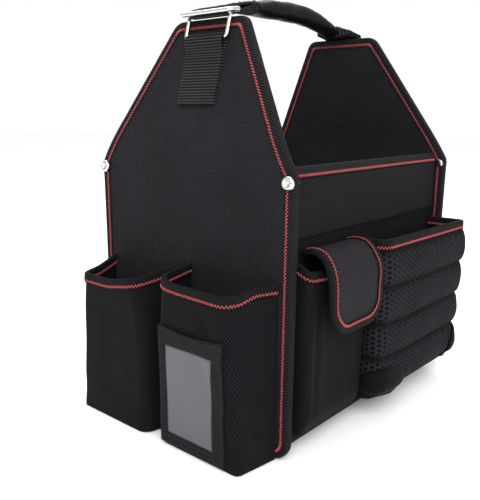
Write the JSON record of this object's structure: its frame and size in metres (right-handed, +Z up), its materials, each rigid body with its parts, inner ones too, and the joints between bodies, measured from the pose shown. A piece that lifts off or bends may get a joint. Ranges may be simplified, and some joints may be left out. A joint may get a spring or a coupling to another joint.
{
  "type": "open top tool tote",
  "caption": "Open top fabric tool tote with tall padded end panels, stitched outside pockets, a pocket with a flap and a carry handle held by metal rings.",
  "frame": {"origin": "Middle of the base's underside, on the surface the tote stands on.", "axes": "+X runs from the near end panel to the far one, -Y is the side with the flap pocket and the ribbed pocket, +Z is up."},
  "size_m": [0.3398, 0.2517, 0.3592],
  "materials": {
    "panel_cloth": "black plain weave, matte",
    "edge_tape": "black binding tape with a red zigzag stitch",
    "wall_cloth": "black smooth cloth",
    "woven_band": "coarse ribbed black weave",
    "pouch_cloth": "black twill weave, matte",
    "spacer_mesh": "padded black open mesh",
    "foot_cloth": "smooth coated black cloth",
    "sleeve_cloth": "black cloth with black stitching",
    "vinyl": "grey vinyl sheet",
    "webbing": "black ribbed webbing",
    "grip": "smooth black sleeve",
    "nickel": "bright nickel plate"
  },
  "bodies": {
    "root": {"end_panel_near": "panel_cloth", "panel_tape_near": "edge_tape", "rivet_near_front": "nickel", "rivet_near_back": "nickel", "pouch_near_front": "pouch_cloth", "pouch_tape_near_front": "edge_tape", "pouch_near_back": "pouch_cloth", "pouch_tape_near_back": "edge_tape", "strap_tab_near": "webbing", "link_ring_near": "nickel", "strap_ring_near": "nickel", "end_panel_far": "panel_cloth", "panel_tape_far": "edge_tape", "rivet_far_front": "nickel", "rivet_far_back": "nickel", "pouch_far_front": "pouch_cloth", "pouch_tape_far_front": "edge_tape", "pouch_far_back": "pouch_cloth", "pouch_tape_far_back": "edge_tape", "strap_tab_far": "webbing", "link_ring_far": "nickel", "strap_ring_far": "nickel", "side_wall_front": "wall_cloth", "wall_tape_front": "edge_tape", "side_wall_back": "wall_cloth", "wall_tape_back": "edge_tape", "base": "wall_cloth", "woven_band": "woven_band", "card_sleeve": "sleeve_cloth", "card_window": "vinyl", "flap_pocket": "pouch_cloth", "flap_pocket_tape": "edge_tape", "flap": "pouch_cloth", "flap_tape": "edge_tape", "ribbed_pocket": "spacer_mesh", "ribbed_pocket_tape": "edge_tape", "foot_patch_near": "foot_cloth", "foot_patch_far": "foot_cloth", "back_pocket": "pouch_cloth", "back_pocket_tape": "edge_tape", "handle_webbing_near": "webbing", "handle_webbing_far": "webbing", "grip_sleeve": "grip"}
  },
  "joints": []
}
